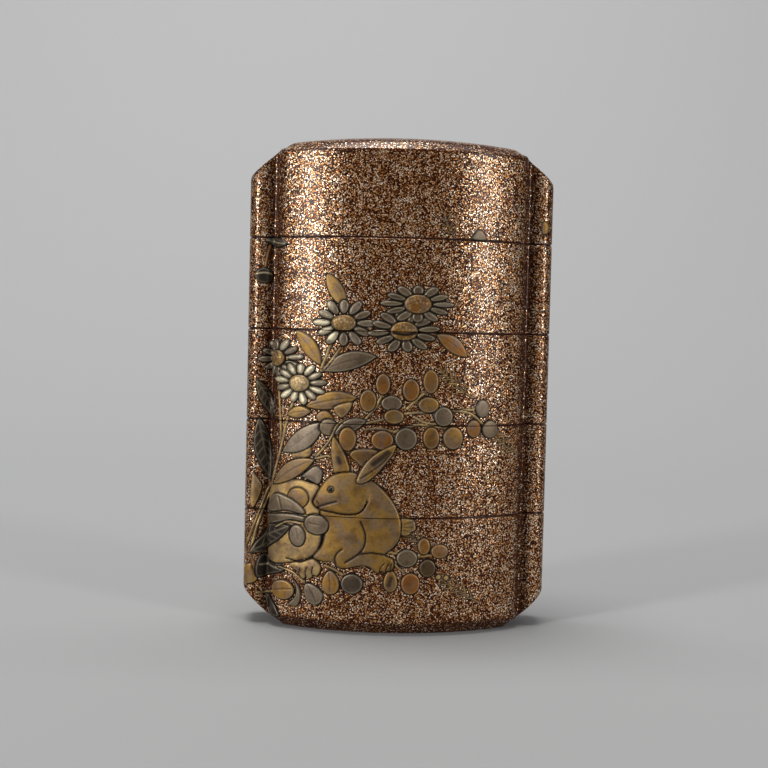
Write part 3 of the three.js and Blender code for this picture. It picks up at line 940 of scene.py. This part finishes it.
# The rabbit behind, with the clover and the leaves that lie over it
def rearRabbit():
    back = 0.62                                                  # how high things on its back start
    body = [(-23.7, 25.0), (-25.3, 21.8), (-25.8, 17.1), (-25.5, 12.6), (-22.9, 11.4),
            (-20.0, 11.6), (-17.5, 12.3), (-14.9, 13.1), (-13.6, 14.8), (-13.2, 16.9),
            (-12.8, 20.7), (-13.9, 25.3), (-15.8, 26.1), (-18.0, 26.5), (-20.6, 26.1)]
    foot = [(-20.0, 12.4), (-19.2, 11.2), (-17.6, 10.2), (-17.2, 9.4), (-16.5, 9.1), (-16.1, 9.5),
            (-15.6, 9.2), (-15.0, 9.5), (-14.7, 9.9), (-14.1, 9.8), (-13.6, 10.4), (-13.4, 11.3),
            (-13.9, 12.3), (-15.0, 12.9), (-17.4, 12.1)]
    toes = [line([(-16.1, 9.4), (-16.2, 10.4), (-15.9, 11.2)], width=0.11),
            line([(-14.8, 9.7), (-15.0, 10.6), (-14.8, 11.4)], width=0.11),
            line([(-17.5, 10.1), (-17.2, 10.9)], width=0.1)]
    haunch = line([(-19.9, 12.5), (-17.4, 12.2), (-15.0, 13.3), (-13.8, 14.9), (-13.4, 17.0),
                   (-13.9, 18.8)], width=0.16)
    return [
        blob(foot, tone=0.68, rise=0.5, dome=0.15, lines=toes),
        blob(body, tone=0.64, rise=0.55, dome=0.2, edge=0.45, rim=0.2, lines=[haunch]),
        leaf((-23.2, 25.2), (-14.9, 30.1), 3.1, vein=0.35, bend=0.5),
        blob([(-17.6, 26.9), (-16.2, 28.2), (-15.0, 29.0), (-13.9, 28.7), (-13.5, 27.8),
              (-13.7, 26.4), (-14.3, 25.8), (-15.7, 26.3), (-16.9, 26.8)][::-1],
             kind="silver", tone=0.55, lift=0.1),
        oval(-17.8, 23.3, 2.05, 1.85, tone=0.5, lift=back, rise=0.2, dome=0.08),
        blob([(-22.2, 23.8), (-23.9, 22.0), (-25.0, 19.9), (-20.5, 20.9), (-16.6, 20.5),
              (-16.9, 21.7), (-19.2, 23.1)], kind="silver", tone=0.35, lift=back, rise=0.2,
             lines=crease([(-21.6, 23.2), (-20.9, 21.1)], 0.7, 0.1)),
        blob([(-25.0, 19.5), (-23.6, 18.1), (-21.8, 18.6), (-19.1, 19.3), (-16.4, 19.2),
              (-16.5, 20.1), (-20.5, 20.4)], kind="silver", tone=0.2, lift=back, rise=0.15),
        oval(-17.8, 16.7, 1.95, 1.55, turn=100, kind="silver", tone=0.42, lift=back, rise=0.2,
             lines=crease([(-18.0, 17.8), (-17.5, 15.9)], 0.35, 0.08)),
        darkLeaf((-29.2, 12.6), (-19.0, 18.3), 3.7, 0.3, bend=0.5, lift=back - 0.1),
        stem([(-22.0, 17.9), (-19.7, 19.0), (-17.3, 18.9)], width=0.4, tone=0.85, lift=back),
    ]


def frontRabbit():
    body = [(-7.1, 27.2), (-11.5, 23.8), (-13.8, 21.3), (-12.8, 18.9), (-13.3, 15.5),
            (-14.9, 13.2), (-13.4, 12.5), (-11.4, 12.4), (-10.5, 11.7), (-9.0, 11.5), (-6.8, 12.0),
            (-5.2, 12.0), (-3.9, 11.1), (-3.3, 10.9), (-2.7, 11.3), (-2.3, 10.9), (-1.7, 11.4),
            (-1.3, 11.3), (-0.7, 12.1), (-0.9, 13.5), (-2.2, 14.2), (-0.9, 15.4), (0.1, 16.7),
            (0.4, 18.5), (0.3, 20.3), (-0.7, 22.8), (-2.7, 25.3), (-4.9, 27.0)]
    head = [(-14.0, 21.6), (-11.7, 21.2), (-9.2, 20.9), (-7.0, 21.2), (-5.8, 22.4), (-5.5, 24.1),
            (-6.0, 26.5), (-7.1, 27.9), (-8.9, 28.3), (-10.9, 28.0), (-12.5, 27.1), (-13.8, 25.5),
            (-14.8, 23.6), (-15.1, 22.6)]
    chest = line([(-6.5, 19.8), (-5.7, 17.7), (-5.8, 15.7), (-6.8, 14.2), (-9.0, 12.6)], width=0.19)
    elbow = line([(-9.6, 14.9), (-10.5, 14.1), (-10.9, 13.1), (-10.7, 12.2)], width=0.17)
    foreleg = line([(-6.9, 14.1), (-4.6, 14.5), (-2.1, 14.2)], width=0.17)
    # Drawn lines of the legs, then of the face and the ears
    toes = [line([(-3.2, 10.9), (-3.0, 11.9), (-2.4, 12.7)], width=0.11),
            line([(-2.2, 10.9), (-2.0, 11.9), (-1.6, 12.6)], width=0.11),
            line([(-1.3, 11.3), (-1.3, 12.1), (-1.1, 12.7)], width=0.1)]
    mouth = line([(-14.2, 21.9), (-13.4, 22.2), (-12.3, 22.6), (-10.8, 23.1)], width=0.17)
    nose = line([(-14.3, 22.9), (-13.9, 22.4)], width=0.12, amount=0.8)
    jaw = line([(-5.9, 22.5), (-5.6, 23.3), (-5.7, 24.0)], width=0.14, amount=0.8)
    earSpot = line([(-10.6, 30.6), (-10.3, 29.9)], width=0.4, depth=0.03, amount=0.85)
    earStreak = line([(-4.6, 29.8), (-3.3, 30.9), (-2.2, 31.9)], width=0.45, depth=0.05, amount=0.9)
    earFold = line([(-6.6, 27.3), (-4.8, 28.6), (-3.0, 30.1), (-1.6, 31.9)], width=0.13, amount=0.9)
    tail = [(0.2, 20.5), (0.3, 17.8), (1.5, 17.5), (2.2, 18.1), (2.9, 18.5), (2.9, 19.4),
            (2.6, 20.2), (1.6, 20.5)]
    tufts = [line([(0.8, 19.0 + rise), (2.4, 19.0 + rise * 2)], width=0.1, amount=0.7)
             for rise in (-0.5, 0.0, 0.5)]
    return [
        blob(tail, tone=0.55, rise=0.3, lines=tufts),
        blob(body, rise=0.6, dome=0.25, edge=0.5, rim=0.2, lines=[chest, elbow, foreleg, *toes]),
        blob([(-11.2, 27.8), (-11.9, 30.2), (-12.1, 32.4), (-11.6, 34.3), (-10.2, 32.5),
              (-9.2, 30.6), (-8.7, 28.3)][::-1], rise=0.6, dome=0.15, lines=[earSpot]),
        blob(head, rise=0.6, dome=0.22, edge=0.5, rim=0.2, lift=0.05, lines=[mouth, nose, jaw]),
        {"melt": (-5.7, 24.9, 2.1)},                             # the head runs into the neck
        {"melt": (-6.2, 26.6, 1.6)},
        blob([(-7.5, 26.7), (-6.2, 26.4), (-4.5, 27.5), (-2.6, 29.7), (-1.3, 31.5), (-0.8, 33.2),
              (-2.6, 32.6), (-4.8, 31.2), (-6.5, 29.2)], rise=0.4, dome=0.15, lift=0.46,
             lines=[earStreak, earFold]),
        oval(-11.75, 25.15, 0.52, 0.5, kind="silver", tone=0.75, lift=0.9, rise=0.1, dome=0.02,
             ink=0.7, rim=0.0),
        oval(-11.72, 25.15, 0.27, 0.28, kind="dark", tone=0.0, lift=0.95, rise=0.1, dome=0.05,
             ink=0.4, rim=0.0),
        oval(-14.3, 18.9, 2.25, 1.8, turn=-12, kind="silver", tone=0.36, lift=0.65, rise=0.2,
             lines=crease([(-15.6, 19.1), (-13.6, 18.8)], 0.3, 0.08)),
    ]


# Fine gold grasses, drawn flat on the ground as thin lines of powder
def grasses():
    made = []
    sprays = [((8.5, 68.6), (6.4, 73.2), 3), ((12.5, 41.4), (6.2, 46.4), 5),
              ((22.6, 31.2), (16.6, 35.2), 4), ((5.4, 14.8), (-0.4, 20.0), 5),
              ((15.0, 5.4), (7.2, 10.2), 5)]
    for root, tip, count in sprays:
        root, tip = np.array(root), np.array(tip)
        along = tip - root
        across = np.array([-along[1], along[0]]) / np.linalg.norm(along)
        middle = root + along * 0.5 + across * 0.3
        made.append(stem([root, middle, tip], width=0.22, tone=0.6, rise=0.05))
        for i in range(count):
            start = root + along * (0.2 + 0.7 * i / count)
            for side in (-1, 1):
                stop = start + along * 0.16 + across * side * 1.1
                made.append(stem([start, stop], width=0.2, tone=0.6, rise=0.05))
    return made + [oval(s, z, 0.5, 0.5, tone=0.6, rise=0.08, dome=0.0)
                   for s, z in ((7.1, 10.3), (8.5, 10.1))]


def frontFigures():
    figures = grasses() + topBuds() + leftStalks() + bottomRow() + leaves()
    chip = line([(-1.7, 52.3), (0.2, 52.05), (2.0, 52.3)], width=0.26, depth=0.15)
    figures += aster(-22.9, 47.4, 5.5, 3.6, 1.7, 1.5, (0.4, 0.7), 0.55, turn=6)
    figures += aster(-18.2, 43.2, 5.2, 3.8, 2.0, 1.55, (0.95, 0.8), 0.85, turn=4, petals=13)
    figures += aster(-10.3, 53.8, 5.7, 4.3, 2.25, 1.5, (0.85, 0.4), 0.55)
    figures += aster(0.05, 52.65, 6.3, 3.9, 2.4, 1.7, (0.35, 0.25), 0.45, turn=8, chips=[chip])
    figures += aster(2.3, 57.3, 6.5, 3.4, 2.4, 1.7, (0.2, 0.35), 0.35)
    figures += branches() + clover() + rearRabbit() + lowRight() + frontRabbit()
    return figures


# The hidden face carries a plainer spray of the same plants
def backFigures():
    figures = [leaf((-2.6, 44.6), (-10.4, 38.4), 2.6, bend=0.6, tone=0.45),
               leaf((3.2, 30.0), (-4.4, 24.4), 2.6, bend=0.6, tone=0.45)]
    figures += stems(0.5, 0.45, [
        [(-3.4, 56.0), (-3.0, 50.0), (-1.4, 44.0), (1.2, 38.0), (3.0, 31.0), (3.4, 24.0)],
        [(5.6, 49.0), (3.2, 45.6), (0.0, 42.6), (-1.0, 42.4)],
        [(-8.6, 46.0), (-5.0, 44.0), (-1.4, 43.4)],
        [(8.4, 33.4), (5.4, 32.0), (2.9, 31.6)],
    ])
    for s, z, turn, size in ((-8.6, 46.0, 160, 1.7), (0.6, 39.6, 90, 1.7), (8.4, 33.4, 30, 1.6)):
        figures += trefoil(s, z, turn, size)
    figures += aster(-3.4, 56.6, 5.8, 4.4, 2.2, 1.6, (0.6, 0.5), turn=5)
    figures += aster(5.6, 49.8, 5.0, 3.9, 1.9, 1.5, (0.5, 0.4), turn=10)
    return figures


# Sprinkled ground: clear lacquer polished over gold, copper and silver flakes on black-brown
flakes = {
    "size": 0.21,            # mm across, as the picture shows; real flakes are a little finer
    "spot": (0.62, 0.4),     # how far from its middle a flake fades, in flakes
    "tilt": (0.3, 0.18),     # how unevenly the darkest and the brightest flakes lie
    "cover": (0.46, 0.56),   # cells under the first stay bare, and over the second none do
    "patch": 2.2,            # mm, thicker and thinner sprinkling
    "patchShare": 0.5,
    "drift": 0.6,            # how far gold, copper and silver flakes keep together
    "lacquer": "#260c03",
    "gathered": "#40200e",   # thick lacquer in the grooves, brown with fine dust; also between the flakes in the painted shade
    "colours": [("#56240c", 0.0), ("#925626", 0.25), ("#ba8650", 0.5), ("#d6b088", 0.75),
                ("#f8e6d2", 1.0)],
    "metallic": 0.56,
    "roughness": 0.27,
    "specular": 0.13,        # low, so that the gaps between flakes stay dark
}
# Places with fewer flakes, so darker: how much, and over what distance in mm the flakes come back
bareAndPaintedShade = {
    "groove": {"most": 0.5, "plain": 1.5, "fade": 0.95, "at": 22.1},   # where lacquer gathered
    "foot": {"most": 0.4, "plain": 1.0, "fade": 0.2},                  # painted shade on the bevel that faces the floor
    "crease": {"most": 0.5, "plain": 1.2, "fade": 0.25, "at": 0.2},    # painted shade in a line under the lid's bevel
}


def newMaterial(name):
    material = bpy.data.materials.new(name)
    material.use_nodes = True
    tree = material.node_tree
    return material, tree, tree.nodes["Principled BSDF"]


def finish(tree, shader, settings):
    for key, value in settings.items():
        setInput(tree, shader.inputs[key], value)


# Gives the eye fine pale and dark grains that catch the light each at its own angle; fewer grains
# make painted shade on the foot's bevel and under the lid's bevel
def flakeLacquer():
    material, tree, shader = newMaterial("sprinkled_gold_lacquer")
    where = addNode(tree, "TexCoord", {})["Object"]
    cells = addNode(tree, "TexVoronoi", {"Scale": 1 / (flakes["size"] * mm), "Vector": where})
    chance = addNode(tree, "SeparateColor", {"Color": cells["Color"]})
    patch = addNode(tree, "TexNoise", {"Scale": 1 / (flakes["patch"] * mm), "Detail": 2.0,
                                       "Vector": where})["Fac"]
    # How bare of flakes: lacquer gathered beside the runners, painted shade on the foot's bevel and
    # under the lid's bevel
    wearAndPaintedLight = addNode(tree, "Attribute", {"attribute_name": "bareAndPaintedShade"})["Fac"]
    # Bare cells gather in the thinner patches
    covered = calculate(tree, "MULTIPLY_ADD", patch, flakes["patchShare"], chance["Green"])
    covered = remap(tree, calculate(tree, "SUBTRACT", covered, wearAndPaintedLight), *flakes["cover"])
    flake = calculate(tree, "MULTIPLY", covered, remap(tree, cells["Distance"], *flakes["spot"]))
    # Gold, copper and silver lie in loose drifts
    drift = calculate(tree, "MULTIPLY_ADD", patch, flakes["drift"], -flakes["drift"] / 2)
    drift = calculate(tree, "ADD", drift, chance["Red"])
    colour = addNode(tree, "ValToRGB", {"Fac": drift}, flakes["colours"])["Color"]
    between = blend(tree, wearAndPaintedLight, linear(flakes["lacquer"]), linear(flakes["gathered"]))
    # Each flake lies at its own small angle under the smooth coat
    lean = addNode(tree, "TexWhiteNoise", {"noise_dimensions": "3D", "Vector": cells["Position"]})
    lean = calculate(tree, "SUBTRACT", lean["Color"], (0.5, 0.5, 0.5), kind="VectorMath")
    uneven = remap(tree, chance["Red"], 0.0, 1.0, *flakes["tilt"])
    lying = calculate(tree, "MULTIPLY", uneven, flake)
    lean = addNode(tree, "VectorMath", {"operation": "SCALE", 0: lean, "Scale": lying})[0]
    upright = addNode(tree, "NewGeometry", {})["Normal"]
    facing = calculate(tree, "ADD", lean, upright, kind="VectorMath")
    finish(tree, shader, {
        "Base Color": blend(tree, flake, between, colour),
        "Metallic": calculate(tree, "MULTIPLY", flake, flakes["metallic"]),
        "Normal": calculate(tree, "NORMALIZE", facing, kind="VectorMath"),
        "Roughness": flakes["roughness"],
        "Specular IOR Level": flakes["specular"],
    })
    return material


# Raised work: metal powder sprinkled on built-up lacquer and burnished, dark in its lines
powders = {
    # Each powder's rim colour is the painted highlight along its figures' worn rims
    "gold": {
        "colours": [("#4e2a10", 0.0), ("#7c4e22", 0.25), ("#84642e", 0.5), ("#c6ac7c", 1.0)],
        "wearAndPaintedLight": "#4e3218", "dull": "#68584a", "rim": "#c8aa7c", "metallic": 0.5, "roughness": 0.46,
    },
    "silver": {
        "colours": [("#3a3028", 0.0), ("#665642", 0.3), ("#76695a", 0.6), ("#ccc2a2", 1.0)],
        "wearAndPaintedLight": "#3c3024", "dull": "#625244", "rim": "#beb498", "metallic": 0.55, "roughness": 0.42,
    },
    "dark": {
        "colours": [("#0e0b0a", 0.0), ("#2a221b", 0.4), ("#4a3820", 1.0)],
        "wearAndPaintedLight": "#15100d", "dull": "#342c24", "rim": "#9a8c70", "metallic": 0.35, "roughness": 0.35,
    },
}
powder = {
    "patch": 2.4,            # mm, of tarnish and rubbed places
    "grain": 0.45,
    "drawn": "#0e0704",      # the lacquer of drawn lines
    # Colour, noise it follows, where on it the colour starts and is full, and how full that is
    "patches": [("dull", "Red", 0.44, 0.6, 0.7), ("wearAndPaintedLight", "Green", 0.5, 0.68, 0.6),
                ("wearAndPaintedLight", "grain", 0.52, 0.78, 0.5)],
    "bump": 0.35,
    "bumpHeight": 0.03,      # mm
    "specular": 0.2,
}


# Gives the eye a soft metal sheen, rubbed thin in places, with near-black drawn lines and a painted
# highlight along worn rims
def powderMetal(kind):
    look = powders[kind]
    material, tree, shader = newMaterial("burnished_" + kind + "_powder")
    where = addNode(tree, "TexCoord", {})["Object"]
    tone, dark, light = (addNode(tree, "Attribute", {"attribute_name": key})["Fac"]
                         for key in ("tone", "dark", "light"))
    colour = addNode(tree, "ValToRGB", {"Fac": tone}, look["colours"])["Color"]
    wide = addNode(tree, "TexNoise", {"Scale": 1 / (powder["patch"] * mm), "Detail": 3.0,
                                      "Vector": where})
    wide = addNode(tree, "SeparateColor", {"Color": wide["Color"]})
    fine = addNode(tree, "TexNoise", {"Scale": 1 / (powder["grain"] * mm), "Detail": 1.0,
                                      "Vector": where})["Fac"]
    for key, follows, low, high, most in powder["patches"]:
        source = fine if follows == "grain" else wide[follows]
        amount = remap(tree, source, low, high, last=most)
        colour = blend(tree, amount, colour, linear(look[key]))
    # The light mark: painted highlight along worn rims, and pale drawn strokes
    colour = blend(tree, light, colour, linear(look["rim"]))
    finish(tree, shader, {
        "Base Color": blend(tree, dark, colour, linear(powder["drawn"])),
        "Metallic": remap(tree, dark, first=look["metallic"], last=0.0),
        "Normal": addNode(tree, "Bump", {"Strength": powder["bump"], "Height": fine,
                                         "Distance": powder["bumpHeight"] * mm})["Normal"],
        "Roughness": look["roughness"],
        "Specular IOR Level": powder["specular"],
    })
    return material


# Plain brown-red lacquer, brushed and polished, inside the cases
innerFinish = {"Base Color": linear("#2c0f09"), "Roughness": 0.3, "Coat Weight": 0.3,
               "Coat Roughness": 0.1}


# Gives the eye a dark, even gloss
def innerLacquer():
    material, tree, shader = newMaterial("polished_inner_lacquer")
    finish(tree, shader, innerFinish)
    return material


camera = {
    "place": (-14.74, -234.91, 54.2),
    "forward": (0.0522, 0.9975, -0.048),
    "up": (-0.0213, 0.0492, 0.9986),
    "lens": 60.9375,         # fitted with the place and the turn to the photograph
    "sensor": 36,
    "clipStart": 0.01,       # m
}


def addCamera():
    data = bpy.data.cameras.new("camera")
    data.lens = camera["lens"]
    data.sensor_width = camera["sensor"]
    data.clip_start = camera["clipStart"]
    seen = addObject("camera", data)
    forward = Vector(camera["forward"]).normalized()
    right = forward.cross(Vector(camera["up"])).normalized()
    up = right.cross(forward)
    turn = Matrix((right, up, -forward)).transposed().to_4x4()
    seen.matrix_world = Matrix.Translation(Vector(camera["place"]) * mm) @ turn
    bpy.context.scene.camera = seen


# A pale paper sweep: flat under the case and curving up far behind it
stage = {"flat": (-1.6, -0.3, 0.2), "radius": 0.7, "top": 1.8, "halfWidth": 2.2, "steps": 32,
         "colour": "#949494", "roughness": 0.9}


def addStage():
    radius, bend = stage["radius"], stage["flat"][-1]
    profile = [(y, 0.0) for y in stage["flat"]]
    for i in range(stage["steps"]):
        angle = math.pi / 2 * (i + 1) / stage["steps"]
        profile.append((bend + radius * math.sin(angle), radius * (1 - math.cos(angle))))
    profile.append((bend + radius, stage["top"]))
    points = [(side * stage["halfWidth"], y, z) for side in (-1, 1) for y, z in profile]
    count = len(profile)
    mesh = bpy.data.meshes.new("paper_sweep")
    mesh.from_pydata(points, [], [(i, i + count, i + count + 1, i + 1) for i in range(count - 1)])
    mesh.shade_smooth()
    material, tree, shader = newMaterial("matt_grey_paper")
    finish(tree, shader, {"Base Color": linear(stage["colour"]), "Roughness": stage["roughness"]})
    mesh.materials.append(material)
    sweep = addObject("paper_sweep", mesh)


# Tall soft boxes to the left and right of the camera, one overhead and one for the backdrop, in
# metres and watts
lamps = [
    {"name": "left_box", "place": (-0.76, -0.6, 0.24), "size": (0.13, 0.46), "power": 6.5},
    {"name": "right_box", "place": (0.74, -0.62, 0.24), "size": (0.16, 0.46), "power": 4.3},
    {"name": "overhead_box", "place": (-0.1, 0.0, 1.0), "size": (0.46, 0.4), "power": 8.0},
    {"name": "backdrop_box", "place": (0.0, 0.3, 1.0), "size": (1.6, 0.3), "power": 9.0,
     "aim": (0.0, 0.9, 0.5)},
]
caseMiddle = (0, 0, 0.045)
room = {"colour": "#d2d2d4", "strength": 0.18}


def addLights():
    for lamp in lamps:
        data = bpy.data.lights.new(lamp["name"], "AREA")
        data.shape = "RECTANGLE"
        data.size, data.size_y = lamp["size"]
        data.energy = lamp["power"]
        light = addObject(lamp["name"], data)
        light.visible_camera = False
        place = Vector(lamp["place"])
        aim = Vector(lamp.get("aim", caseMiddle)) - place
        light.location = place
        light.rotation_euler = aim.to_track_quat("-Z", "Y").to_euler()
    world = bpy.data.worlds.new("room")
    world.use_nodes = True
    background = world.node_tree.nodes["Background"]
    background.inputs["Color"].default_value = linear(room["colour"])
    background.inputs["Strength"].default_value = room["strength"]
    bpy.context.scene.world = world
    bpy.context.scene.view_settings.view_transform = "Standard"


addCamera()
addStage()
addLights()
print("set up camera, sweep and lights")

ground, within = flakeLacquer(), innerLacquer()
for i, name in enumerate(pieceNames):
    buildShell(name, tiers[i], tiers[i + 1], [ground, within])
print("built the shells")

metals = {kind: powderMetal(kind) for kind in kinds}
buildFigures("front", frontFigures(), metals)
buildFigures("back", backFigures(), metals, back=True)
